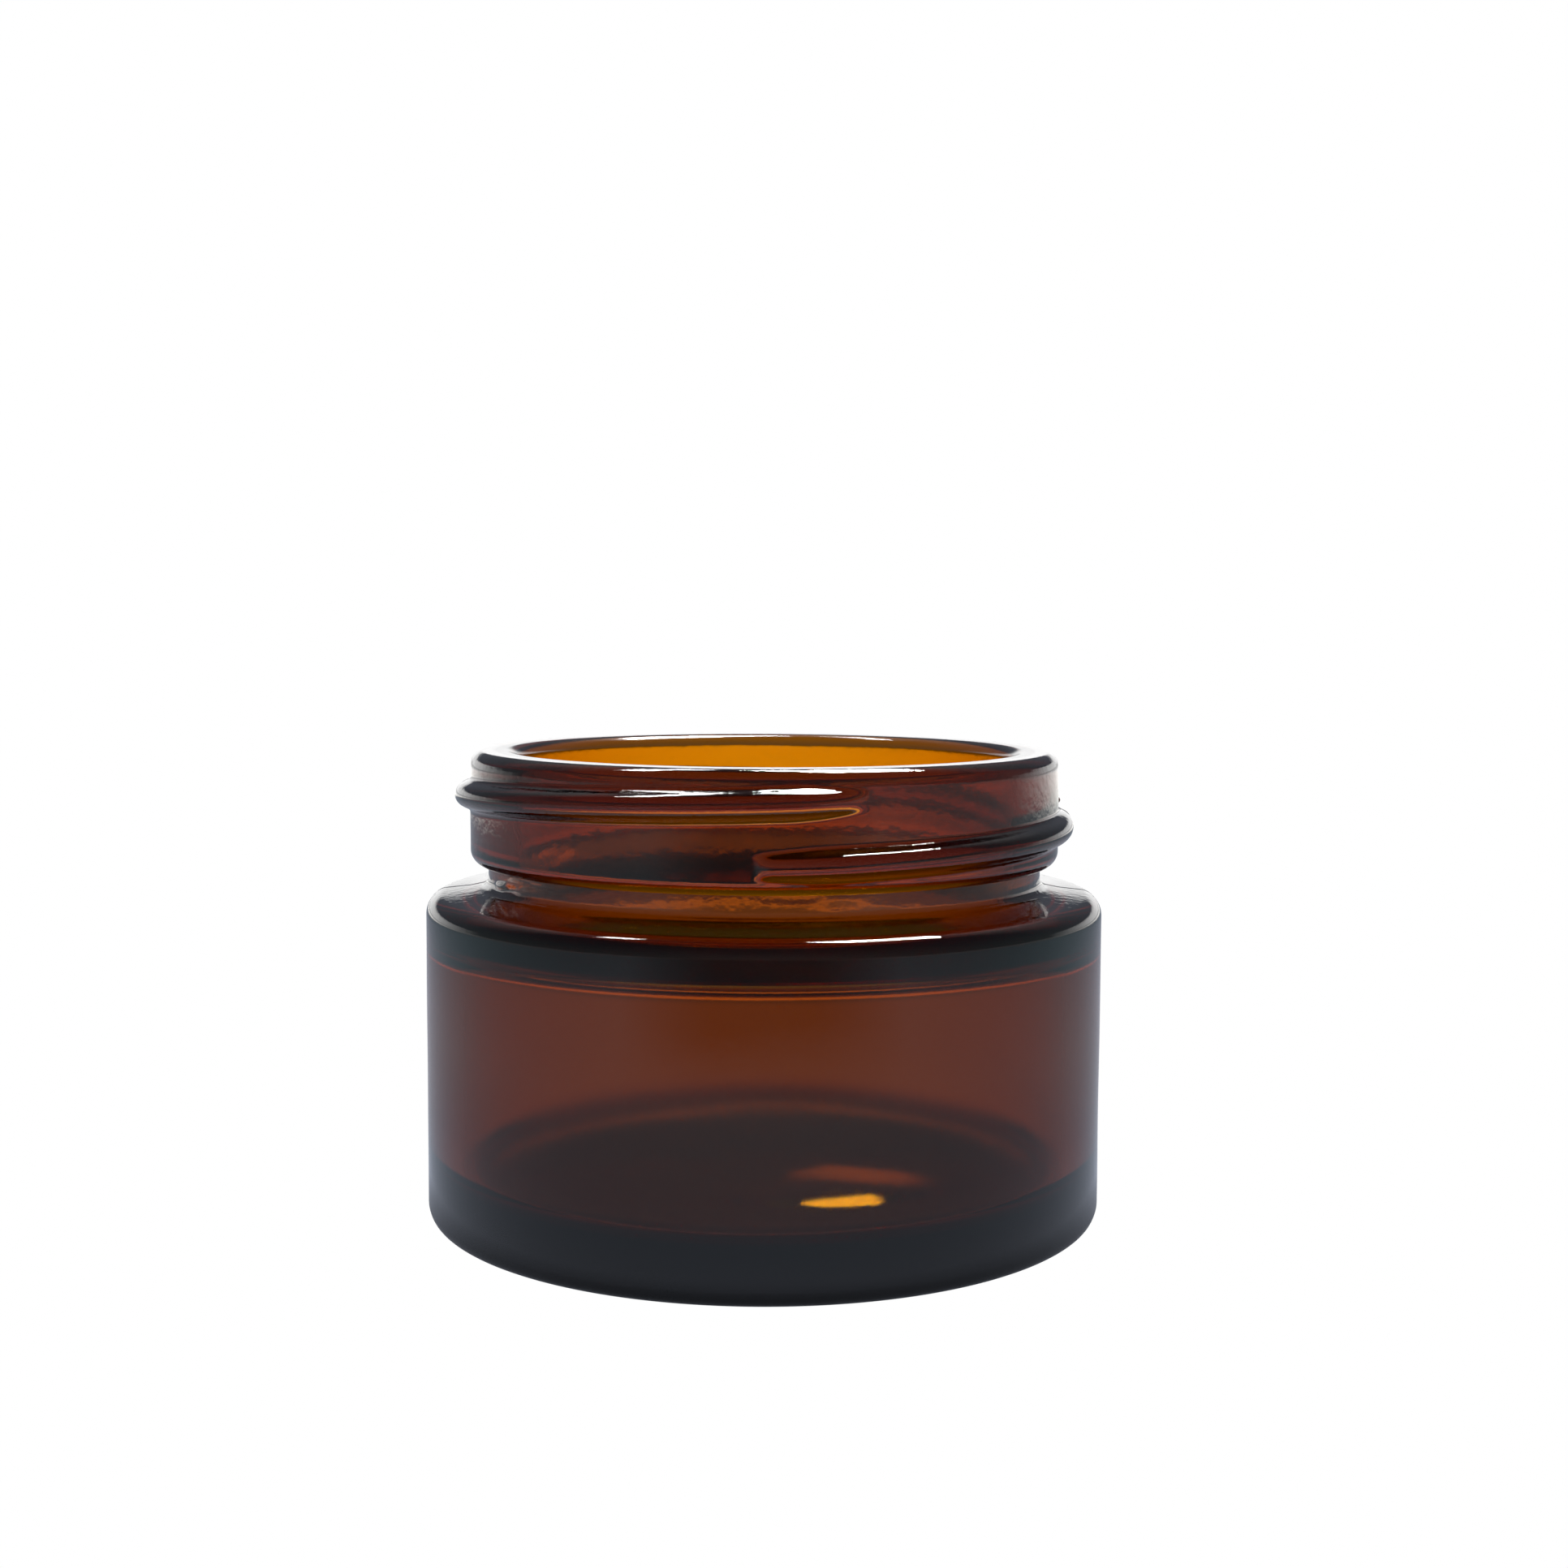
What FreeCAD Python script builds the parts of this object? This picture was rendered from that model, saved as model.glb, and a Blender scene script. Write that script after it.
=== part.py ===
"""Amber glass cream jar, one moulded piece of glass with an open threaded mouth.

Frame: millimetres, +Z up, origin at the centre of the base, standing on z = 0.
The thread angles are counted about +Z from the front of the jar, which faces -Y,
and grow towards +X.
"""
import FreeCAD
import Part
import math
import os

# --- body ---------------------------------------------------------------------
BODY_RADIUS = 26.0          # outside of the straight side wall
JAR_HEIGHT = 35.8           # base to sealing land
SHOULDER_SLOPE = 6.0        # degrees, fall of the shoulder's top towards its edge
SHOULDER_EDGE_RADIUS = 1.5
HEEL_RADIUS = 1.3           # rounded corner between the side wall and the base

# --- finish: recess, neck and rim -----------------------------------------------
NECK_RADIUS = 22.5          # cylinder that carries the thread (E / 2)
NECK_WALL = 3.4             # glass between the neck's cylinder and the mouth
FINISH_HEIGHT = 8.5         # underside of the finish to the sealing land
RECESS_DEPTH = 1.25         # undercut between the finish and the shoulder
RECESS_HEIGHT = 2.0         # shoulder's top to the underside of the finish
FINISH_CORNER_RADIUS = 1.0  # lower outside corner of the finish
RECESS_FILLET = 0.8         # foot of the recess, where it meets the shoulder
RIM_OUTER_RADIUS = 1.2      # rounding of the rim's outside edge
RIM_INNER_RADIUS = 0.9      # rounding of the rim's inside edge

# --- inside ---------------------------------------------------------------------
WALL = 2.8                  # side wall
FLOOR_HEIGHT = 3.6          # inside floor above the surface the jar stands on
FLOOR_CORNER_RADIUS = 2.0
MOUTH_FLARE_RADIUS = 3.0    # bore turning outwards into the cavity, level with the shoulder's top
CEILING_SLOPE = 30.0        # degrees, rise of the cavity's ceiling towards the bore
CEILING_CORNER_RADIUS = 1.8  # cavity's ceiling turning down into the side wall

# --- base -----------------------------------------------------------------------
BEARING_RING_WIDTH = 3.7    # flat ring that the jar stands on
PUSH_UP = 1.1               # rise of the base's centre above the ring

# --- continuous thread ------------------------------------------------------------
THREAD_HEIGHT = 1.15        # crest above the neck: (T - E) / 2
THREAD_WIDTH = 2.6          # along the axis, at the neck
THREAD_PITCH = 25.4 / 6.0   # six threads to the inch
THREAD_TOP_DROP = 2.15      # crest below the sealing land at the upper end
THREAD_START = 17.0         # degrees, upper end
THREAD_TURN = 382.0         # degrees from the upper end to the lower end
THREAD_RUN_OUT = 22.0       # degrees over which each end dies into the neck
THREAD_STEP = 9.0           # degrees between the sections of the ridge
RUN_OUT_SCALE = 0.12        # size of the last section against a full one
SECTION_START = -90.0       # degrees, puts the start of a section on its side nearest the axis

# --- worked out from the sizes above ----------------------------------------------
MOUTH_RADIUS = NECK_RADIUS - NECK_WALL
RECESS_RADIUS = NECK_RADIUS - RECESS_DEPTH
SHOULDER_HEIGHT = JAR_HEIGHT - FINISH_HEIGHT - RECESS_HEIGHT
BEARING_RING_INNER = BODY_RADIUS - HEEL_RADIUS - BEARING_RING_WIDTH


def point(r, z):
    """A point of the jar's half section, in the plane y = 0."""
    return FreeCAD.Vector(r, 0.0, z)


def line(a, b):
    return Part.LineSegment(a, b).toShape()


def arc(centre_r, centre_z, radius, from_deg, to_deg):
    """Arc in the half section, with angles counted from +r towards +z."""
    stops = []
    for deg in (from_deg, (from_deg + to_deg) / 2.0, to_deg):
        turn = math.radians(deg)
        stops.append(point(centre_r + radius * math.cos(turn), centre_z + radius * math.sin(turn)))
    return Part.Arc(*stops).toShape()


def joined(pieces):
    """One wire from edges in order, with straight edges put in between their ends."""
    edges = [pieces[0]]
    for piece in pieces[1:]:
        end = edges[-1].lastVertex(True).Point
        start = piece.firstVertex(True).Point
        if end.distanceToPoint(start) > 1e-6:
            edges.append(line(end, start))
        edges.append(piece)
    return edges


def outside():
    """Outer half section from the axis under the base up to the sealing land."""
    slope = math.radians(SHOULDER_SLOPE)
    edge_r = BODY_RADIUS - SHOULDER_EDGE_RADIUS
    top_r = edge_r + SHOULDER_EDGE_RADIUS * math.sin(slope)
    top_z = SHOULDER_HEIGHT - (top_r - RECESS_RADIUS) * math.tan(slope)
    edge_z = top_z - SHOULDER_EDGE_RADIUS * math.cos(slope)

    # The recess's fillet touches the recess's cylinder and the sloping top.
    foot_r = RECESS_RADIUS + RECESS_FILLET
    foot_z = SHOULDER_HEIGHT - RECESS_FILLET * math.tan(slope) + RECESS_FILLET / math.cos(slope)

    finish_z = JAR_HEIGHT - FINISH_HEIGHT
    corner_r = NECK_RADIUS - FINISH_CORNER_RADIUS
    corner_z = finish_z + FINISH_CORNER_RADIUS

    rise = (BEARING_RING_INNER ** 2 + PUSH_UP ** 2) / (2.0 * PUSH_UP)
    half_angle = math.degrees(math.asin(BEARING_RING_INNER / rise))
    return [
        arc(0.0, PUSH_UP - rise, rise, 90.0, 90.0 - half_angle),
        arc(BODY_RADIUS - HEEL_RADIUS, HEEL_RADIUS, HEEL_RADIUS, -90.0, 0.0),
        arc(edge_r, edge_z, SHOULDER_EDGE_RADIUS, 0.0, 90.0 - SHOULDER_SLOPE),
        arc(foot_r, foot_z, RECESS_FILLET, 270.0 - SHOULDER_SLOPE, 180.0),
        line(point(RECESS_RADIUS, finish_z), point(corner_r, finish_z)),
        arc(corner_r, corner_z, FINISH_CORNER_RADIUS, -90.0, 0.0),
        arc(NECK_RADIUS - RIM_OUTER_RADIUS, JAR_HEIGHT - RIM_OUTER_RADIUS, RIM_OUTER_RADIUS, 0.0, 90.0),
    ]


def inside():
    """Inner half section from the sealing land down to the middle of the floor."""
    cavity_radius = BODY_RADIUS - WALL
    slope = math.radians(CEILING_SLOPE)
    flare_r = MOUTH_RADIUS + MOUTH_FLARE_RADIUS
    corner_r = cavity_radius - CEILING_CORNER_RADIUS
    floor_r = cavity_radius - FLOOR_CORNER_RADIUS

    # The sloping ceiling touches both arcs, so it runs from the end of one to the end of the other.
    run = corner_r - flare_r + (CEILING_CORNER_RADIUS + MOUTH_FLARE_RADIUS) * math.sin(slope)
    drop = run * math.tan(slope) + (CEILING_CORNER_RADIUS + MOUTH_FLARE_RADIUS) * math.cos(slope)
    corner_z = SHOULDER_HEIGHT - drop
    return [
        arc(MOUTH_RADIUS + RIM_INNER_RADIUS, JAR_HEIGHT - RIM_INNER_RADIUS, RIM_INNER_RADIUS, 90.0, 180.0),
        arc(flare_r, SHOULDER_HEIGHT, MOUTH_FLARE_RADIUS, 180.0, 270.0 - CEILING_SLOPE),
        arc(corner_r, corner_z, CEILING_CORNER_RADIUS, 90.0 - CEILING_SLOPE, 0.0),
        arc(floor_r, FLOOR_HEIGHT + FLOOR_CORNER_RADIUS, FLOOR_CORNER_RADIUS, 0.0, -90.0),
        line(point(floor_r, FLOOR_HEIGHT), point(0.0, FLOOR_HEIGHT)),
    ]


def shell():
    """The jar without its thread."""
    edges = joined(outside() + inside())
    edges.append(line(point(0.0, FLOOR_HEIGHT), point(0.0, PUSH_UP)))
    face = Part.Face(Part.Wire(edges))
    return face.revolve(FreeCAD.Vector(0, 0, 0), FreeCAD.Vector(0, 0, 1), 360)


def ridge_section(turn, scale):
    """Round section of the thread, turn degrees from the upper end, mostly sunk in the neck."""
    height = THREAD_HEIGHT * scale
    half = THREAD_WIDTH / 2.0 * scale
    radius = (half ** 2 + height ** 2) / (2.0 * height)
    middle = JAR_HEIGHT - THREAD_TOP_DROP - THREAD_PITCH * turn / 360.0
    centre = point(NECK_RADIUS + height - radius, middle)
    circle = Part.Circle(centre, FreeCAD.Vector(0, 1, 0), radius).toShape()
    # The circle's own start goes to its inner side, inside the glass of the neck.
    circle.rotate(centre, FreeCAD.Vector(0, 1, 0), SECTION_START)
    circle.rotate(FreeCAD.Vector(0, 0, 0), FreeCAD.Vector(0, 0, 1), THREAD_START - turn - 90.0)
    return Part.Wire([circle])


def thread():
    """Rounded ridge that climbs to the right, a little over one turn, with tapered ends."""
    count = int(round(THREAD_TURN / THREAD_STEP))
    sections = []
    for index in range(count + 1):
        turn = THREAD_TURN * index / count
        from_end = min(turn, THREAD_TURN - turn, THREAD_RUN_OUT)
        grown = math.sin(math.pi / 2.0 * from_end / THREAD_RUN_OUT)
        sections.append(ridge_section(turn, RUN_OUT_SCALE + (1.0 - RUN_OUT_SCALE) * grown))
    return Part.makeLoft(sections, True, False)


def glass_jar():
    jar = shell().fuse(thread())
    if len(jar.Solids) != 1:
        raise RuntimeError("the thread and the shell must fuse to one solid")
    return jar.Solids[0]


def brimful_volume():
    """Volume that the jar holds when filled level with its sealing land, in millilitres."""
    edges = joined(inside())
    edges.append(line(point(0.0, FLOOR_HEIGHT), point(0.0, JAR_HEIGHT)))
    edges.append(line(point(0.0, JAR_HEIGHT), edges[0].firstVertex(True).Point))
    face = Part.Face(Part.Wire(edges))
    return face.revolve(FreeCAD.Vector(0, 0, 0), FreeCAD.Vector(0, 0, 1), 360).Volume / 1000.0


def main():
    os.makedirs("parts", exist_ok=True)
    jar = glass_jar()
    jar.exportStep("parts/glass_jar.step")
    box = jar.BoundBox
    print("glass_jar valid", jar.isValid(), "faces", len(jar.Faces), "volume mm3", round(jar.Volume, 1))
    print("box", round(box.XLength, 3), round(box.YLength, 3), round(box.ZLength, 3))
    print("brimful ml", round(brimful_volume(), 2))


main()
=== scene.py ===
"""Looks of the amber glass cream jar: one closed glass mesh, its material, studio and camera."""

import math

import bpy
import numpy as np
from mathutils import Matrix, Vector


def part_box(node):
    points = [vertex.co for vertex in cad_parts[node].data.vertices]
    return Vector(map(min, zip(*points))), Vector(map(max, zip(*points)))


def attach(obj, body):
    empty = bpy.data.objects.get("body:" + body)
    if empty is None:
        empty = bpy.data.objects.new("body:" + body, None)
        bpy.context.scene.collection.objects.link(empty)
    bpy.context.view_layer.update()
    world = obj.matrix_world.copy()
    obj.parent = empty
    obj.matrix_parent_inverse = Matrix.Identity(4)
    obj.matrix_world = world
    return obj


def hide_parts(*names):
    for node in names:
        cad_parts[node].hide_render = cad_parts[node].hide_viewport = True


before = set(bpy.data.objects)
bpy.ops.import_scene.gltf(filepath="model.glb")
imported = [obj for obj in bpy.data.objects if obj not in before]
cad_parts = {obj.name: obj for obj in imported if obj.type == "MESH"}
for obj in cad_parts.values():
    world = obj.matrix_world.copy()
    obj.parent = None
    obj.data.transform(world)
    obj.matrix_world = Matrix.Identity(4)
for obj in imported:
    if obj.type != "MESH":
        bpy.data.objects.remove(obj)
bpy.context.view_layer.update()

MM = 0.001

# --- sizes in millimetres, as in the CAD model; height and radius come from the frame -----------
low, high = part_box("glass_jar")
BODY_RADIUS = round((high.x - low.x) / 2.0 / MM, 3)
JAR_HEIGHT = round((high.z - low.z) / MM, 3)
SHOULDER_SLOPE = 6.0         # degrees, fall of the shoulder's top towards its edge
SHOULDER_EDGE_RADIUS = 1.5
HEEL_RADIUS = 1.3
NECK_RADIUS = 22.5
NECK_WALL = 3.4
FINISH_HEIGHT = 8.5
FINISH_CORNER_RADIUS = 1.0
RECESS_DEPTH = 1.25
RECESS_HEIGHT = 2.0
RECESS_FILLET = 0.8
RIM_OUTER_RADIUS = 1.2
RIM_INNER_RADIUS = 0.9
WALL = 2.8
CEILING_SLOPE = 30.0         # degrees, rise of the cavity's ceiling towards the mouth
CEILING_CORNER_RADIUS = 1.8
MOUTH_FLARE_RADIUS = 3.0
FLOOR_HEIGHT = 3.6
FLOOR_CORNER_RADIUS = 2.0
BEARING_RING_WIDTH = 3.7
PUSH_UP = 1.1

THREAD_HEIGHT = 1.15
CREST_RADIUS = 0.95          # rounded top of the ridge
ROOT_RADIUS = 0.35           # hollow corner between the ridge and the neck
FLANK_ANGLE = 65.0           # degrees, steepest part of the ridge
THREAD_PITCH = 25.4 / 6.0
THREAD_TOP_DROP = 2.15
THREAD_START = 17.0          # degrees from the front to the ridge's upper end
THREAD_TURN = 382.0          # degrees from the upper end to the lower end
TOP_RUN_OUT = 14.0           # degrees over which the upper end dies into the neck
LOW_RUN_OUT = 20.0           # the same for the lower end
RUN_OUT_POWER = 0.8          # below 1, the ends are blunter than a sine
RUN_OUT_WIDTH = 0.6          # width of the ridge at its very end, against its full width

# --- moulding marks -------------------------------------------------------------------------------
SEAMS = (90.0, 270.0)        # degrees from the front: the two mould seams
SEAM_WIDTH = 0.28            # degrees
BODY_SEAM_HEIGHT = 0.03
NECK_SEAM_HEIGHT = 0.07
FIN_HEIGHT = 0.3             # scrap of glass squeezed out at one seam, just above the ridge
FIN_LEVEL = 31.9
FIN_LENGTH = 0.3
FOLD_HEIGHT = 0.16           # cold folds in the recess
FOLD_LEAST = 0.06            # share of them left at the front and the back
FOLD_POWER = 0.7             # below 1, the folds are flat with sharp edges
BODY_SWAY = 0.012            # slow waves of the wall's outside, the neck and the inside
NECK_SWAY = 0.012
INNER_SWAY = 0.03
# Sets of waves: seed, how many are added up, fewest and most crests around the jar, and the
# shortest and longest distance between two crests along it.
BODY_WAVES = (3, 9, 2, 11, 7.0, 26.0)
NECK_WAVES = (23, 8, 3, 16, 4.0, 12.0)
INNER_WAVES = (31, 9, 1, 7, 9.0, 30.0)
FOLD_WAVES = (11, 10, 6, 30, 0.9, 2.6)
PATCH_WAVES = (5, 6, 2, 9, 6.0, 12.0)
LUMP_ACROSS = 3.4            # centre of the patch of glass that settled on the floor
LUMP_AHEAD = -1.6
LUMP_RADIUS = 15.0
LUMP_SLOPE_LENGTH = 1.6      # length of the slope along its front edge
LUMP_HEIGHT = 0.66
LUMP_DIRECTION = 13.0        # degrees, middle of that edge
LUMP_SPREAD = 31.0           # degrees either way over which the edge gets low
PARTING_RADIUS = 22.6        # line on the shoulder where the neck ring met the body mould
PARTING_STEP = 0.09
PARTING_WIDTH = 0.24
RIM_LINE_DROP = 0.62         # line round the rim, below the sealing land
RIM_LINE_HEIGHT = 0.03
RIM_LINE_WIDTH = 0.1
KNURLS = 60                  # ribs pressed into the bearing ring
KNURL_DEPTH = 0.06

# --- worked out from the sizes above ---------------------------------------------------------------
MOUTH_RADIUS = NECK_RADIUS - NECK_WALL
RECESS_RADIUS = NECK_RADIUS - RECESS_DEPTH
FINISH_LEVEL = JAR_HEIGHT - FINISH_HEIGHT
SHOULDER_HEIGHT = FINISH_LEVEL - RECESS_HEIGHT
BEARING_RING_INNER = BODY_RADIUS - HEEL_RADIUS - BEARING_RING_WIDTH

# --- how fine the mesh is ---------------------------------------------------------------------------
SEGMENT_STEP = 1.3           # degrees between the mesh's meridians
SEAM_STEP = 0.15             # the same beside the mould seams
SEAM_REACH = 0.75            # degrees either side of a seam that get the fine step
BODY_SPACING = 1.3           # longest edge along the section, in millimetres
INNER_SPACING = 1.0
FINISH_SPACING = 0.14
SHOULDER_SPACING = 0.12      # recess and shoulder up to the parting line
SHOULDER_FINE_BELOW = 0.5    # how far below the shoulder's top and outside the parting line
SHOULDER_FINE_BEYOND = 2.0
FLOOR_SPACING = 0.22         # under the front edge of the settled glass
FLOOR_FINE_FROM = 16.6       # radii between which the floor has that spacing
FLOOR_FINE_TO = 10.8
TINY = 1e-6


# --- half section --------------------------------------------------------------------------------
def arc(centre_r, centre_z, radius, from_deg, to_deg, steps):
    """Points of an arc, both ends included, with angles counted from +r towards +z."""
    turn = np.radians(np.linspace(from_deg, to_deg, steps + 1))
    return np.stack([centre_r + radius * np.cos(turn), centre_z + radius * np.sin(turn)], 1)


def outside():
    """Outer half section from the base's centre to the sealing land."""
    slope = math.radians(SHOULDER_SLOPE)
    edge_r = BODY_RADIUS - SHOULDER_EDGE_RADIUS
    top_r = edge_r + SHOULDER_EDGE_RADIUS * math.sin(slope)
    top_z = SHOULDER_HEIGHT - (top_r - RECESS_RADIUS) * math.tan(slope)
    edge_z = top_z - SHOULDER_EDGE_RADIUS * math.cos(slope)
    foot_r = RECESS_RADIUS + RECESS_FILLET
    foot_z = SHOULDER_HEIGHT - RECESS_FILLET * math.tan(slope) + RECESS_FILLET / math.cos(slope)
    rise = (BEARING_RING_INNER ** 2 + PUSH_UP ** 2) / (2.0 * PUSH_UP)
    half_angle = math.degrees(math.asin(BEARING_RING_INNER / rise))
    return [
        arc(0.0, PUSH_UP - rise, rise, 90.0, 90.0 - half_angle, 20),
        arc(BODY_RADIUS - HEEL_RADIUS, HEEL_RADIUS, HEEL_RADIUS, -90.0, 0.0, 12),
        arc(edge_r, edge_z, SHOULDER_EDGE_RADIUS, 0.0, 90.0 - SHOULDER_SLOPE, 20),
        arc(foot_r, foot_z, RECESS_FILLET, 270.0 - SHOULDER_SLOPE, 180.0, 12),
        np.array([[RECESS_RADIUS, FINISH_LEVEL]]),
        arc(NECK_RADIUS - FINISH_CORNER_RADIUS, FINISH_LEVEL + FINISH_CORNER_RADIUS,
            FINISH_CORNER_RADIUS, -90.0, 0.0, 14),
        arc(NECK_RADIUS - RIM_OUTER_RADIUS, JAR_HEIGHT - RIM_OUTER_RADIUS,
            RIM_OUTER_RADIUS, 0.0, 90.0, 16),
    ]


def floor_points(edge):
    """Points along the floor, close together under the front edge of the settled glass."""
    fine = np.arange(FLOOR_FINE_FROM, FLOOR_FINE_TO, -FLOOR_SPACING)
    coarse = np.arange(FLOOR_FINE_TO, 0.0, -INNER_SPACING)
    r = np.concatenate([[0.5 * (edge + FLOOR_FINE_FROM)], fine, coarse, [0.0]])
    return np.stack([r, np.full(len(r), FLOOR_HEIGHT)], 1)


def inside():
    """Inner half section from the sealing land to the middle of the floor."""
    cavity = BODY_RADIUS - WALL
    slope = math.radians(CEILING_SLOPE)
    corner_r = cavity - CEILING_CORNER_RADIUS
    flare_r = MOUTH_RADIUS + MOUTH_FLARE_RADIUS
    run = corner_r - flare_r + (CEILING_CORNER_RADIUS + MOUTH_FLARE_RADIUS) * math.sin(slope)
    drop = run * math.tan(slope) + (CEILING_CORNER_RADIUS + MOUTH_FLARE_RADIUS) * math.cos(slope)
    return [
        arc(MOUTH_RADIUS + RIM_INNER_RADIUS, JAR_HEIGHT - RIM_INNER_RADIUS,
            RIM_INNER_RADIUS, 90.0, 180.0, 12),
        arc(flare_r, SHOULDER_HEIGHT, MOUTH_FLARE_RADIUS, 180.0, 270.0 - CEILING_SLOPE, 32),
        arc(corner_r, SHOULDER_HEIGHT - drop,
            CEILING_CORNER_RADIUS, 90.0 - CEILING_SLOPE, 0.0, 20),
        arc(cavity - FLOOR_CORNER_RADIUS, FLOOR_HEIGHT + FLOOR_CORNER_RADIUS,
            FLOOR_CORNER_RADIUS, 0.0, -90.0, 24),
        floor_points(cavity - FLOOR_CORNER_RADIUS),
    ]


def spacing(a, b, outer):
    """Longest mesh edge along the section between two of its points."""
    if not outer:
        return INNER_SPACING
    if min(a[1], b[1]) > FINISH_LEVEL - TINY:
        return FINISH_SPACING
    high_enough = min(a[1], b[1]) > SHOULDER_HEIGHT - SHOULDER_FINE_BELOW
    near_enough = max(a[0], b[0]) < PARTING_RADIUS + SHOULDER_FINE_BEYOND
    return SHOULDER_SPACING if high_enough and near_enough else BODY_SPACING


def half_section():
    """Section from the base's centre round to the floor's, and which of its points are outside."""
    outer = np.concatenate(outside())
    corners = np.concatenate([outer] + inside())
    points, mask = [corners[0]], [True]
    for index in range(1, len(corners)):
        a, b = corners[index - 1], corners[index]
        length = np.linalg.norm(b - a)
        if length < TINY:
            continue
        is_outer = index < len(outer)
        count = math.ceil(length / spacing(a, b, is_outer))
        for part in range(1, count + 1):
            points.append(a + (b - a) * part / count)
            mask.append(is_outer)
    return np.array(points), np.array(mask)


def meridians():
    """Angles of the meridians from the front towards +X, closer together at the mould seams."""
    even = np.arange(0.0, 360.0, SEGMENT_STEP)
    near = np.arange(-SEAM_REACH, SEAM_REACH + TINY, SEAM_STEP)
    keep = np.ones(len(even), bool)
    for seam in SEAMS:
        keep &= np.abs(even - seam) > SEAM_REACH + 0.3 * SEGMENT_STEP
    return np.sort(np.concatenate([even[keep]] + [seam + near for seam in SEAMS]))


# --- relief of the surface -------------------------------------------------------------------------
def ridge_section(across):
    """Height of the full ridge at a distance from its middle: round crest, flank, hollow root."""
    flank = math.radians(FLANK_ANGLE)
    crest_end = CREST_RADIUS * math.sin(flank)
    crest_low = THREAD_HEIGHT - CREST_RADIUS * (1.0 - math.cos(flank))
    root_high = ROOT_RADIUS * (1.0 - math.cos(flank))
    root_start = crest_end + (crest_low - root_high) / math.tan(flank)
    root_end = root_start + ROOT_RADIUS * math.sin(flank)
    crest = THREAD_HEIGHT - CREST_RADIUS + np.sqrt(np.maximum(CREST_RADIUS ** 2 - across ** 2, 0.0))
    side = crest_low - (across - crest_end) * math.tan(flank)
    root = ROOT_RADIUS - np.sqrt(np.maximum(ROOT_RADIUS ** 2 - (root_end - across) ** 2, 0.0))
    height = np.where(across < crest_end, crest, np.where(across < root_start, side, root))
    return np.where(across < root_end, height, 0.0)


def thread_relief(front_deg, z):
    """Height of the thread's ridge over the neck. Angles run from the front towards +X."""
    relief = np.zeros(np.broadcast(front_deg, z).shape)
    for lap in (-2, -1, 0, 1):
        turn = THREAD_START - front_deg + 360.0 * lap
        inside_run = (turn > 0.0) & (turn < THREAD_TURN)
        from_top = np.clip(turn / TOP_RUN_OUT, 0.0, 1.0)
        from_low = np.clip((THREAD_TURN - turn) / LOW_RUN_OUT, 0.0, 1.0)
        grown = np.sin(np.pi / 2.0 * np.minimum(from_top, from_low)) ** RUN_OUT_POWER
        middle = JAR_HEIGHT - THREAD_TOP_DROP - THREAD_PITCH * turn / 360.0
        across = np.abs(z - middle) / (RUN_OUT_WIDTH + (1.0 - RUN_OUT_WIDTH) * grown)
        relief = np.maximum(relief, np.where(inside_run, grown * ridge_section(across), 0.0))
    return relief


def bell(distance, width):
    """Smooth bump that is 1 in its middle and practically 0 at three widths."""
    return np.exp(-(distance / width) ** 2)


def step_up(value, start, end):
    """0 below the start, 1 above the end, smooth between."""
    share = np.clip((value - start) / (end - start), 0.0, 1.0)
    return share * share * (3.0 - 2.0 * share)


def plateau(value, rise_from, rise_to, fall_from, fall_to):
    """0 outside the first and last limits, 1 between the middle two, smooth between."""
    return step_up(value, rise_from, rise_to) * (1.0 - step_up(value, fall_from, fall_to))


def waves(front_deg, along, seed, count, lowest, highest, shortest, longest):
    """Irregular relief between about -1 and 1: seeded waves that close up around the jar.

    lowest and highest are whole waves around the jar; shortest and longest are millimetres along it.
    """
    rng = np.random.default_rng(seed)
    total = np.zeros(np.broadcast(front_deg, along).shape)
    for _ in range(count):
        around = rng.integers(lowest, highest + 1)
        length = rng.uniform(shortest, longest) * rng.choice((-1.0, 1.0))
        phase = rng.uniform(0.0, 2.0 * np.pi)
        total += np.cos(around * np.radians(front_deg) + 2.0 * np.pi * along / length + phase)
    return total / np.sqrt(count) * 0.7


def seam_relief(front_deg, z):
    """Fine vertical fins where the two halves of the mould meet."""
    relief = np.zeros(np.broadcast(front_deg, z).shape)
    for seam in SEAMS:
        relief += bell(front_deg - seam, SEAM_WIDTH)
    height = np.where(z > FINISH_LEVEL, NECK_SEAM_HEIGHT, BODY_SEAM_HEIGHT)
    fade = plateau(z, HEEL_RADIUS, 2.0 * HEEL_RADIUS, JAR_HEIGHT - 1.6, JAR_HEIGHT - 1.0)
    fin = FIN_HEIGHT * bell(front_deg - SEAMS[0], 1.5 * SEAM_WIDTH) * bell(z - FIN_LEVEL, FIN_LENGTH)
    return relief * height * fade + fin


def recess_relief(front_deg, z):
    """Cold folds in the recess: flat, drawn-out wrinkles, strongest at its two sides."""
    level = plateau(z, SHOULDER_HEIGHT + 0.2, SHOULDER_HEIGHT + 0.7, FINISH_LEVEL - 0.3, FINISH_LEVEL)
    fold = waves(front_deg, z, *FOLD_WAVES)
    patch = step_up(waves(front_deg, z, *PATCH_WAVES), 0.0, 0.7)
    side = FOLD_LEAST + (1.0 - FOLD_LEAST) * np.sin(np.radians(front_deg)) ** 4
    crease = np.sign(fold) * np.abs(fold) ** FOLD_POWER
    return FOLD_HEIGHT * level * side * patch * crease


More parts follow.
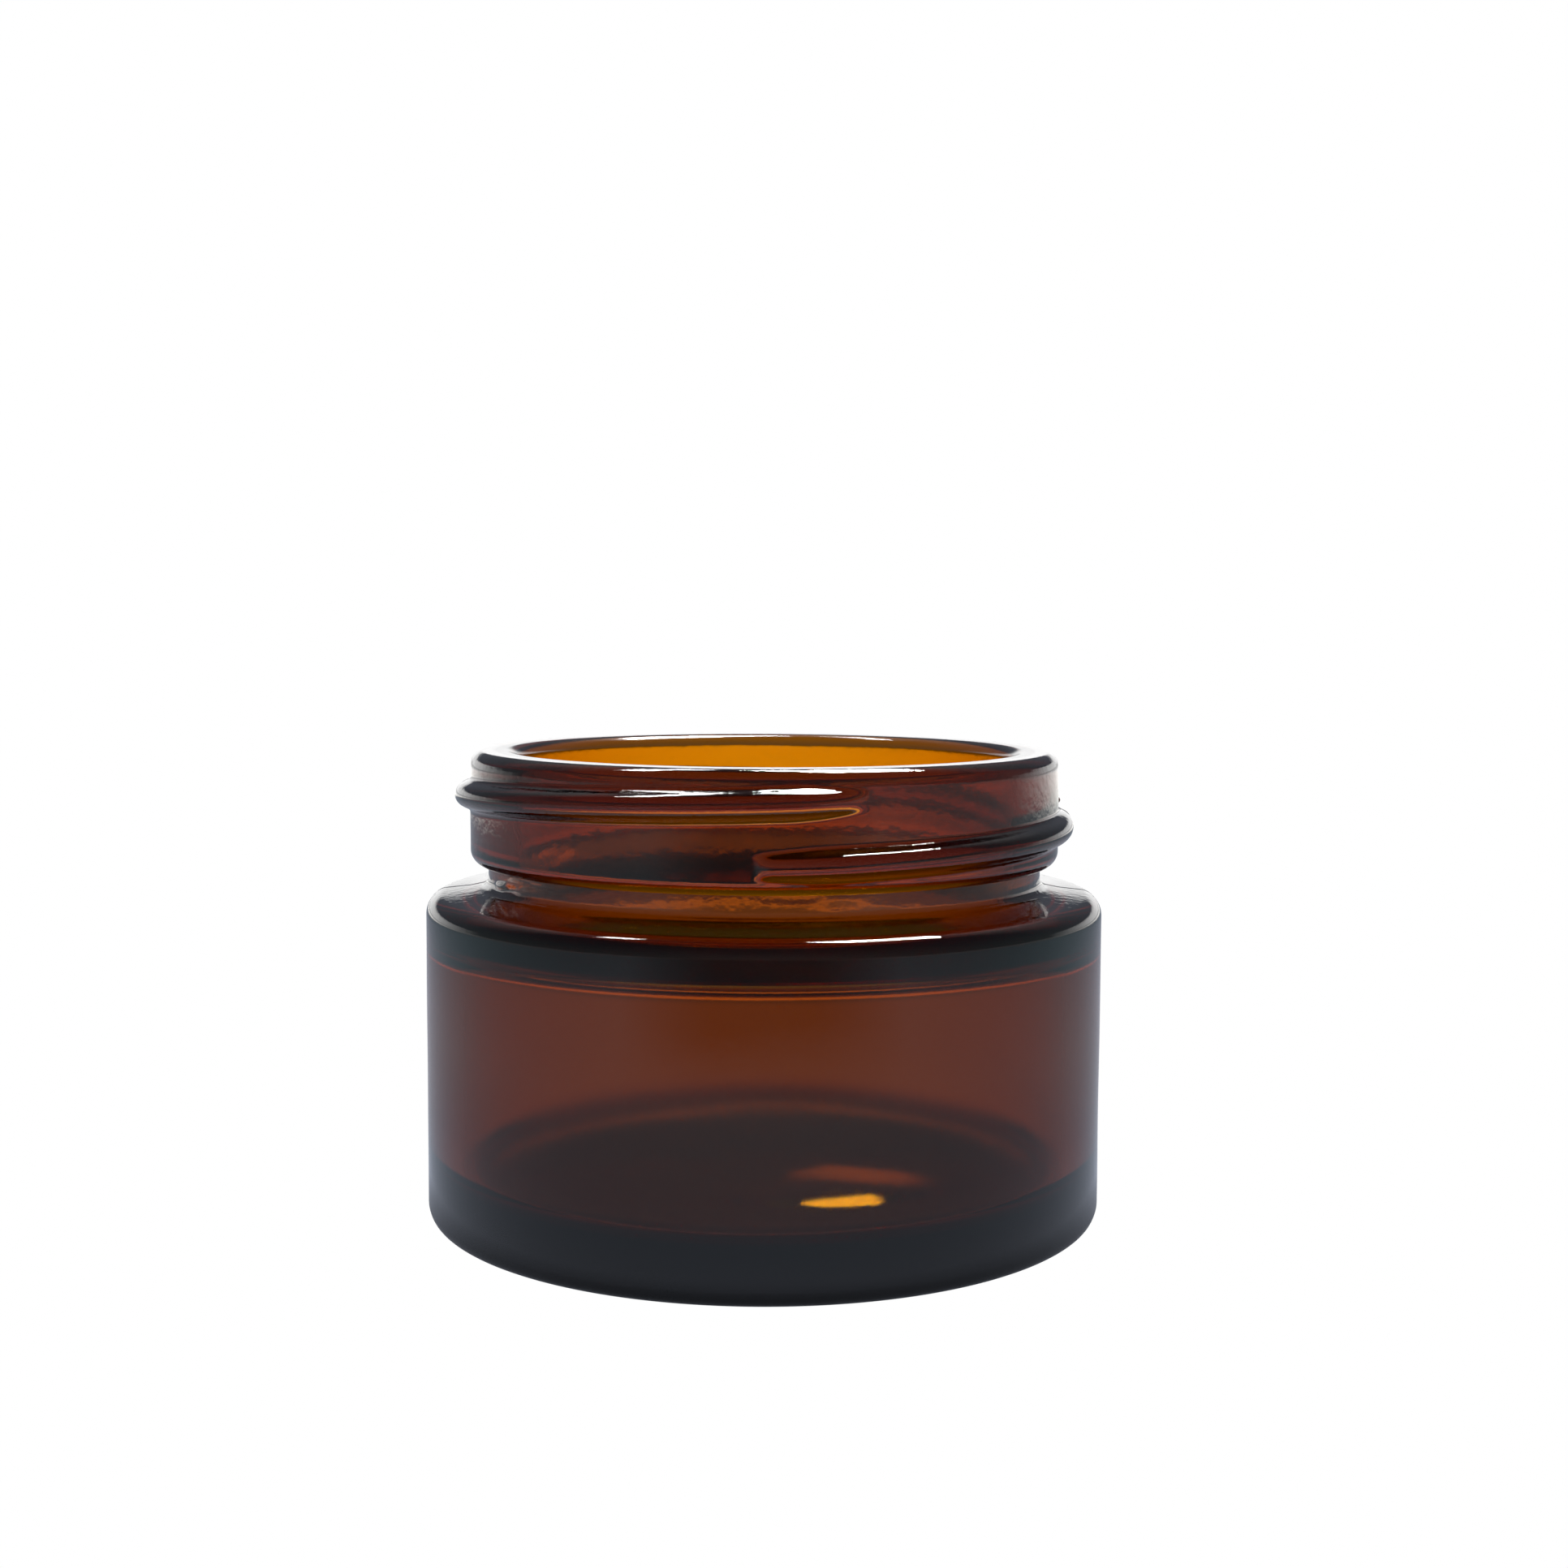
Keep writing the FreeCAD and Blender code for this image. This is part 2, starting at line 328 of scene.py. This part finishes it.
def shoulder_step(r, z):
    """Shoulder inside the parting line, where the neck ring left it a little higher."""
    half = 0.5 * PARTING_WIDTH
    across = plateau(r, RECESS_RADIUS, RECESS_RADIUS + 0.2, PARTING_RADIUS - half, PARTING_RADIUS + half)
    return PARTING_STEP * across * step_up(z, SHOULDER_HEIGHT - 0.6, SHOULDER_HEIGHT - 0.3)


def bearing_ribs(front_deg, r, z):
    """Hollows between the ribs of the ring that the jar stands on, kept off its outer edge."""
    edge = BODY_RADIUS - HEEL_RADIUS
    across = plateau(r, BEARING_RING_INNER, BEARING_RING_INNER + 0.4, edge - 0.8, edge - 0.2)
    under = 1.0 - step_up(z, 0.02, 0.25)
    return -KNURL_DEPTH * across * under * (0.5 + 0.5 * np.cos(KNURLS * np.radians(front_deg)))


def outer_relief(front_deg, r, z):
    """Everything on the outside but the thread, along the outward normal and never far above it."""
    # The wall stays far enough below its full radius for the waves and the seams to end inside it.
    below = np.minimum(waves(front_deg, z, *BODY_WAVES), 1.0) - 1.0
    on_wall = plateau(z, 0.25 * HEEL_RADIUS, 0.75 * HEEL_RADIUS, SHOULDER_HEIGHT, SHOULDER_HEIGHT + 0.5)
    wall = (BODY_SWAY * below - BODY_SEAM_HEIGHT) * on_wall
    on_neck = plateau(z, FINISH_LEVEL, FINISH_LEVEL + 1.0, JAR_HEIGHT - 1.2, JAR_HEIGHT - 0.8)
    neck = NECK_SWAY * waves(front_deg, z, *NECK_WAVES) * on_neck
    rim = RIM_LINE_HEIGHT * bell(z - (JAR_HEIGHT - RIM_LINE_DROP), RIM_LINE_WIDTH)
    return (wall + neck + rim + shoulder_step(r, z) + bearing_ribs(front_deg, r, z)
            + seam_relief(front_deg, z) + recess_relief(front_deg, z))


def settled_glass(front_deg, r):
    """Height of the glass that settled on the floor: a low patch, highest along its front edge."""
    turn = np.radians(front_deg)
    across = r * np.sin(turn) - LUMP_ACROSS
    ahead = r * np.cos(turn) - LUMP_AHEAD
    reach = np.hypot(across, ahead)
    direction = np.degrees(np.arctan2(across, ahead))
    edge = 1.0 - step_up(reach, LUMP_RADIUS - LUMP_SLOPE_LENGTH, LUMP_RADIUS)
    middle = step_up(reach, 0.0, LUMP_RADIUS - LUMP_SLOPE_LENGTH)
    return LUMP_HEIGHT * edge * middle * bell(direction - LUMP_DIRECTION, LUMP_SPREAD)


def inner_relief(front_deg, r, z):
    """Relief out of the glass: the blown inside waves slowly, and glass settled on its floor."""
    free = 1.0 - step_up(z, SHOULDER_HEIGHT - 3.0, SHOULDER_HEIGHT + 1.0)
    wide = step_up(r, 0.0, 6.0)
    lump = settled_glass(front_deg, r) * (1.0 - step_up(z, FLOOR_HEIGHT, FLOOR_HEIGHT + 0.2))
    return INNER_SWAY * free * wide * waves(front_deg, z + r, *INNER_WAVES) + lump


def section_normals(section):
    """Unit normals of the section, pointing out of the glass."""
    ahead = np.roll(section, -1, 0)
    behind_it = np.roll(section, 1, 0)
    ahead[-1], behind_it[0] = section[-1], section[0]
    along = ahead - behind_it
    along /= np.linalg.norm(along, axis=1)[:, None]
    return np.stack([along[:, 1], -along[:, 0]], 1)


def quads_and_caps(rings, around):
    """Faces of a tube of rings that is closed by one point at either end."""
    start = 1 + np.arange(rings - 1)[:, None] * around
    here = np.arange(around)[None, :]
    beside = (here + 1) % around
    sides = np.stack([start + here, start + beside, start + around + beside, start + around + here], -1)
    last = 1 + (rings - 1) * around
    tip = last + around
    caps = [(0, 1 + (n + 1) % around, 1 + n) for n in range(around)]
    caps += [(last + n, last + (n + 1) % around, tip) for n in range(around)]
    return [tuple(face) for face in sides.reshape(-1, 4).tolist()] + caps


def mark_rings(mesh, name, numbers, around):
    """Give every vertex the number of its ring, as an attribute that the material reads."""
    spread = np.concatenate([numbers[:1], np.repeat(numbers[1:-1], around), numbers[-1:]])
    mesh.attributes.new(name, "FLOAT", "POINT").data.foreach_set("value", spread)


def placed_rings(section, outer, front):
    """Points of every ring in metres, with the moulding marks and the thread on them."""
    normals = section_normals(section)
    r = section[:, :1] + np.zeros(len(front))
    z = section[:, 1:] + np.zeros(len(front))
    turn = front[None, :] + np.zeros_like(r)
    relief = np.where(outer[:, None], outer_relief(turn, r, z), inner_relief(turn, r, z))
    on_neck = outer[:, None] & (z > FINISH_LEVEL)
    new_r = r + normals[:, :1] * relief + np.where(on_neck, thread_relief(turn, z), 0.0)
    new_z = z + normals[:, 1:] * relief
    angle = np.radians(turn)
    rings = np.stack([new_r * np.sin(angle), -new_r * np.cos(angle), new_z], -1) * MM
    rings[..., 2] = np.clip(rings[..., 2], 0.0, JAR_HEIGHT * MM)
    return rings


def build_jar():
    """The glass as one closed mesh of rings between a point under the base and one on the floor."""
    section, outer = half_section()
    front = meridians()
    rings = placed_rings(section, outer, front)[1:-1]
    first = np.array([[0.0, 0.0, section[0, 1] * MM]])
    final = np.array([[0.0, 0.0, section[-1, 1] * MM]])
    verts = np.concatenate([first, rings.reshape(-1, 3), final])
    mesh = bpy.data.meshes.new("jar_glass")
    mesh.from_pydata(verts.tolist(), [], quads_and_caps(len(rings), len(front)))
    mesh.update()
    mesh.shade_smooth()

    # The material reads how rough the blown inside is and how strong the moulded outside's marks are.
    off_floor = step_up(section[:, 0], FLOOR_HAZE_RADIUS, MOUTH_RADIUS)
    haze = FLOOR_HAZE + (1.0 - FLOOR_HAZE) * off_floor
    mark_rings(mesh, "blown", np.where(outer, 0.0, haze), len(front))
    above_body = step_up(section[:, 1], SHOULDER_HEIGHT - 1.0, SHOULDER_HEIGHT)
    grain = BODY_GRAIN + (1.0 - BODY_GRAIN) * above_body
    mark_rings(mesh, "cast", np.where(outer, grain, 0.0), len(front))
    jar = bpy.data.objects.new("jar_glass", mesh)
    bpy.context.scene.collection.objects.link(jar)
    return jar


# --- shader nodes ------------------------------------------------------------------------------------
def value(tree, operation, a, b=0.0, clamp=False):
    """Output of a math node whose inputs are sockets or plain numbers."""
    node = tree.nodes.new("ShaderNodeMath")
    node.operation = operation
    node.use_clamp = clamp
    for socket, source in zip(node.inputs, (a, b)):
        if isinstance(source, float):
            socket.default_value = source
        else:
            tree.links.new(source, socket)
    return node.outputs[0]


def share(tree, source, start, width):
    """0 up to the start and 1 from the start plus the width on, straight between."""
    return value(tree, "DIVIDE", value(tree, "SUBTRACT", source, start), width, clamp=True)


def noise(tree, place, scale, detail):
    """Value of a noise texture at a place."""
    node = tree.nodes.new("ShaderNodeTexNoise")
    node.inputs["Scale"].default_value = scale
    node.inputs["Detail"].default_value = detail
    tree.links.new(place, node.inputs["Vector"])
    return node.outputs["Fac"]


def attribute(tree, name):
    """Number that build_jar stored on the mesh under this name."""
    node = tree.nodes.new("ShaderNodeAttribute")
    node.attribute_name = name
    return node.outputs["Fac"]


def axes(tree, system):
    """X, Y and Z of a place or direction in one of the coordinate systems of a shader."""
    place = tree.nodes.new("ShaderNodeTexCoord")
    split = tree.nodes.new("ShaderNodeSeparateXYZ")
    tree.links.new(place.outputs[system], split.inputs["Vector"])
    return split.outputs["X"], split.outputs["Y"], split.outputs["Z"]


def ramp(tree, position, stops):
    """Colour that changes along a position from 0 to 1."""
    node = tree.nodes.new("ShaderNodeValToRGB")
    band = node.color_ramp
    while len(band.elements) < len(stops):
        band.elements.new(1.0)
    for element, (place, colour) in zip(band.elements, stops):
        element.position = place
        element.color = (*colour, 1.0)
    tree.links.new(position, node.inputs["Fac"])
    return node.outputs["Color"]


def blend(tree, amount, a, b):
    """Colour between two others; each of these is a socket or a plain colour."""
    node = tree.nodes.new("ShaderNodeMix")
    node.data_type = "RGBA"
    tree.links.new(amount, node.inputs["Factor"])
    for socket, source in ((node.inputs[6], a), (node.inputs[7], b)):
        if isinstance(source, tuple):
            socket.default_value = (*source, 1.0)
        else:
            tree.links.new(source, socket)
    return node.outputs[2]


# --- material ----------------------------------------------------------------------------------------
GLASS_IOR = 1.52
ABSORB_PER_MM = (0.235, 0.561, 2.2)
ABSORB_DENSITY = 2250.0      # 1 / m, just above the strongest absorption
BLOWN_ROUGHNESS = 0.12       # inside of the jar, which no mould touched
FLOOR_HAZE = 0.15            # share of that roughness on the middle of the floor
FLOOR_HAZE_RADIUS = 16.5     # mm, where the floor starts to get as rough as the walls
BODY_GRAIN = 0.25            # share of the marks and the grain below that the body has
SMUDGE_SCALE = 160.0         # handling marks, about 6 mm apart
SMUDGE_DETAIL = 5.0
SMUDGE_LEAST = 0.5           # value of the noise below which the glass is clean
SMUDGE_ROUGHNESS = 0.16
GRAIN_SCALE = 1400.0         # chill marks of the mould, about 0.7 mm apart
GRAIN_DETAIL = 2.0
GRAIN_DEPTH = 0.016 * MM     # on the neck and shoulder; less on the body


def amber_glass():
    """Amber glass: its colour is in its depth; its surface is glossy with faint marks, rougher inside."""
    mat = bpy.data.materials.new("amber_glass")
    mat.use_nodes = True
    tree = mat.node_tree
    shader = tree.nodes["Principled BSDF"]
    shader.inputs["Base Color"].default_value = (1.0, 1.0, 1.0, 1.0)
    shader.inputs["IOR"].default_value = GLASS_IOR
    shader.inputs["Transmission Weight"].default_value = 1.0
    place = tree.nodes.new("ShaderNodeTexCoord").outputs["Object"]
    cast = attribute(tree, "cast")

    blown = value(tree, "MULTIPLY", attribute(tree, "blown"), BLOWN_ROUGHNESS)
    smudge = noise(tree, place, SMUDGE_SCALE, SMUDGE_DETAIL)
    smudge = value(tree, "SUBTRACT", smudge, SMUDGE_LEAST, clamp=True)
    smudge = value(tree, "MULTIPLY", value(tree, "MULTIPLY", smudge, cast), SMUDGE_ROUGHNESS)
    tree.links.new(value(tree, "ADD", blown, smudge), shader.inputs["Roughness"])

    grain = tree.nodes.new("ShaderNodeBump")
    grain.inputs["Strength"].default_value = 1.0
    grain.inputs["Distance"].default_value = GRAIN_DEPTH
    height = value(tree, "MULTIPLY", noise(tree, place, GRAIN_SCALE, GRAIN_DETAIL), cast)
    tree.links.new(height, grain.inputs["Height"])
    tree.links.new(grain.outputs["Normal"], shader.inputs["Normal"])

    volume = tree.nodes.new("ShaderNodeVolumeAbsorption")
    tint = [1.0 - absorbed / MM / ABSORB_DENSITY for absorbed in ABSORB_PER_MM]
    volume.inputs["Density"].default_value = ABSORB_DENSITY
    volume.inputs["Color"].default_value = (*tint, 1.0)
    tree.links.new(volume.outputs["Volume"], tree.nodes["Material Output"].inputs["Volume"])
    return mat


# --- studio ------------------------------------------------------------------------------------------
WHITE = (1.0, 1.0, 1.0)
FLOOR_HALF = 6.0             # metres from the jar to the floor's edge
FLOOR_SINK = 0.05 * MM       # keeps the floor just under the surface the jar stands on
FLOOR_REACH = 1.0            # metres from the jar that the floor's ramps cover
BACKDROP_EDGE = 0.3          # cosine of the angle from straight behind at which the backdrop ends
BACKDROP_FADE = 0.5
SHADE_LEFT = 0.3             # brightness left of the floor in front where the camera shades it
SHADE_EDGE = 0.75            # cosine of the angle from straight ahead at which the shade ends
SHADE_FADE = 0.22
SHADE_START = 0.08           # metres from the jar
SHADE_RISE = 0.04
SOFTBOX_DEPTH = 0.27         # metres
NEAREST = 1e-4               # keeps the directions from dividing by zero

# Glowing brightness of the floor by distance from the jar, behind it and in front of it: painted light
# and painted shade, with a painted shadow under the jar, darker bands and, behind, a painted bright band.
FLOOR_BACK = [
    (0.0, (0.01, 0.01, 0.01)), (0.024, (0.02, 0.02, 0.02)), (0.030, (0.45, 0.46, 0.52)),
    (0.10, (0.42, 0.43, 0.50)), (0.20, (0.26, 0.30, 0.36)), (0.31, (0.30, 0.33, 0.38)),
    (0.38, (1.2, 1.2, 1.15)), (0.48, (1.7, 1.65, 1.60)), (0.60, (1.4, 1.4, 1.4)), (1.0, (0.9, 0.9, 0.9)),
]
FLOOR_FRONT = [
    (0.0, (0.01, 0.01, 0.01)), (0.024, (0.02, 0.02, 0.02)), (0.030, (0.46, 0.50, 0.60)),
    (0.05, (0.37, 0.44, 0.53)), (0.085, (0.40, 0.50, 0.57)), (0.20, (0.30, 0.40, 0.45)),
    (0.40, (0.40, 0.44, 0.46)), (1.0, (0.48, 0.48, 0.48)),
]
# Brightness of the room by height of the line of sight (0 horizon, 1 overhead).
ROOM_BACK = [
    (0.0, (1.4, 1.4, 1.4)), (0.10, (1.4, 1.4, 1.4)), (0.13, (1.2, 1.2, 1.2)), (0.17, (0.12, 0.13, 0.16)),
    (0.45, (0.18, 0.19, 0.22)), (0.75, (0.45, 0.42, 0.42)), (0.92, (0.12, 0.12, 0.14)),
    (1.0, (0.02, 0.02, 0.02)),
]
ROOM_FRONT = [
    (0.0, (0.18, 0.21, 0.22)), (0.30, (0.14, 0.17, 0.19)), (0.55, (0.10, 0.12, 0.14)),
    (0.80, (0.07, 0.08, 0.10)), (0.92, (0.04, 0.05, 0.06)), (1.0, (0.02, 0.02, 0.02)),
]


def heading(tree, y, reach):
    """1 for a direction straight behind the jar, 0 at its sides, -1 straight in front."""
    return value(tree, "DIVIDE", y, value(tree, "MAXIMUM", reach, NEAREST))


def behind(tree, y, reach):
    """Share of the backdrop: 1 behind the jar, falling to 0 towards its sides and in front."""
    return share(tree, heading(tree, y, reach), BACKDROP_EDGE, BACKDROP_FADE)


def white_to_camera(tree, colour):
    """The colour for every ray but the camera's own, which see plain white."""
    path = tree.nodes.new("ShaderNodeLightPath")
    return blend(tree, path.outputs["Is Camera Ray"], colour, WHITE)


def shaded(tree, colour, y, reach):
    """The floor's colour, darker straight in front of the jar, where the camera stands over it."""
    ahead = value(tree, "MULTIPLY", heading(tree, y, reach), -1.0)
    facing = share(tree, ahead, SHADE_EDGE, SHADE_FADE)
    far = share(tree, reach, SHADE_START, SHADE_RISE)
    shade = value(tree, "MULTIPLY", value(tree, "MULTIPLY", facing, far), 1.0 - SHADE_LEFT)
    dim = tree.nodes.new("ShaderNodeVectorMath")
    dim.operation = "SCALE"
    tree.links.new(colour, dim.inputs[0])
    tree.links.new(value(tree, "SUBTRACT", 1.0, shade), dim.inputs["Scale"])
    return dim.outputs["Vector"]


def floor_material():
    """Plain white to the camera; the glass sees painted light and painted shade on it in bright and dark
    bands, with a painted shadow under the jar.
    """
    mat = bpy.data.materials.new("pale_floor")
    mat.use_nodes = True
    tree = mat.node_tree
    tree.nodes.remove(tree.nodes["Principled BSDF"])
    x, y, _ = axes(tree, "Object")
    square = value(tree, "ADD", value(tree, "MULTIPLY", x, x), value(tree, "MULTIPLY", y, y))
    reach = value(tree, "SQRT", square)
    along = value(tree, "DIVIDE", reach, FLOOR_REACH, clamp=True)
    front = shaded(tree, ramp(tree, along, FLOOR_FRONT), y, reach)
    colour = blend(tree, behind(tree, y, reach), front, ramp(tree, along, FLOOR_BACK))
    glow = tree.nodes.new("ShaderNodeEmission")
    tree.links.new(white_to_camera(tree, colour), glow.inputs["Color"])
    tree.links.new(glow.outputs["Emission"], tree.nodes["Material Output"].inputs["Surface"])
    return mat


def floor():
    """Flat glowing square just under the jar."""
    mesh = bpy.data.meshes.new("floor")
    half = FLOOR_HALF
    corners = [(-half, -half, 0), (half, -half, 0), (half, half, 0), (-half, half, 0)]
    mesh.from_pydata(corners, [], [(0, 1, 2, 3)])
    mesh.materials.append(floor_material())
    plane = bpy.data.objects.new("floor", mesh)
    plane.location.z = -FLOOR_SINK
    bpy.context.scene.collection.objects.link(plane)


def room():
    """Surroundings above the floor, bright and dark in bands like it."""
    world = bpy.data.worlds.new("room")
    bpy.context.scene.world = world
    world.use_nodes = True
    tree = world.node_tree
    _, y, up = axes(tree, "Generated")
    height = value(tree, "MAXIMUM", up, 0.0)
    level = value(tree, "SQRT", value(tree, "SUBTRACT", 1.0, value(tree, "MULTIPLY", up, up), clamp=True))
    back = ramp(tree, height, ROOM_BACK)
    colour = blend(tree, behind(tree, y, level), ramp(tree, height, ROOM_FRONT), back)
    tree.links.new(white_to_camera(tree, colour), tree.nodes["Background"].inputs["Color"])


def softbox(name, end_a, end_b, depth, radiance):
    """Rectangular light from one end to the other, facing the jar, all in metres.

    Light that has just left the glass doesn't see it, which keeps stray glints out of the body.
    """
    a, b = Vector(end_a), Vector(end_b)
    middle = (a + b) / 2.0
    x_axis = (b - a).normalized()
    z_axis = (middle - x_axis * middle.dot(x_axis)).normalized()
    y_axis = z_axis.cross(x_axis)
    data = bpy.data.lights.new(name, "AREA")
    data.shape = "RECTANGLE"
    data.size = (b - a).length
    data.size_y = depth
    data.energy = radiance * math.pi * data.size * depth
    lamp = bpy.data.objects.new(name, data)
    lamp.visible_transmission = False
    facing = Matrix((x_axis, y_axis, z_axis)).transposed().to_4x4()
    lamp.matrix_world = Matrix.Translation(middle) @ facing
    bpy.context.scene.collection.objects.link(lamp)


# --- camera ------------------------------------------------------------------------------------------
CAMERA_DISTANCE = 160.2      # millimetres from the jar's axis
CAMERA_HEIGHT = 46.0         # millimetres above the base
CAMERA_PITCH = 4.62          # degrees down
CAMERA_PAN = 0.53            # degrees to the right
CAMERA_ROLL = 0.27
LENS = 47.6
SENSOR_WIDTH = 36.0
BOUNCES = 32                 # light crosses many walls of glass


def camera():
    """Camera where the photo was taken from, fitted to the jar's outline."""
    data = bpy.data.cameras.new("camera")
    data.lens = LENS
    data.sensor_width = SENSOR_WIDTH
    data.clip_start = 0.01
    cam = bpy.data.objects.new("camera", data)
    turn = Matrix.Rotation(math.radians(-CAMERA_PAN), 4, "Z")
    tilt = Matrix.Rotation(math.radians(90.0 - CAMERA_PITCH), 4, "X")
    roll = Matrix.Rotation(math.radians(CAMERA_ROLL), 4, "Z")
    spot = Matrix.Translation(Vector((0.0, -CAMERA_DISTANCE * MM, CAMERA_HEIGHT * MM)))
    cam.matrix_world = spot @ turn @ tilt @ roll
    bpy.context.scene.collection.objects.link(cam)
    bpy.context.scene.camera = cam


def settings():
    """Colours as they are, and enough bounces for the glass."""
    scene = bpy.context.scene
    scene.view_settings.view_transform = "Standard"
    scene.view_settings.look = "None"
    scene.cycles.max_bounces = BOUNCES
    scene.cycles.transmission_bounces = BOUNCES
    scene.cycles.glossy_bounces = BOUNCES // 2


jar = build_jar()
jar.data.materials.append(amber_glass())
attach(jar, "root")
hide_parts("glass_jar")
floor()
room()
softbox("strip_left", (-0.147, 0.175, 0.574), (-0.195, 0.218, 0.543), SOFTBOX_DEPTH, 18.0)
softbox("strip_right", (0.046, 0.134, 0.601), (0.217, 0.246, 0.522), SOFTBOX_DEPTH, 65.0)
camera()
settings()
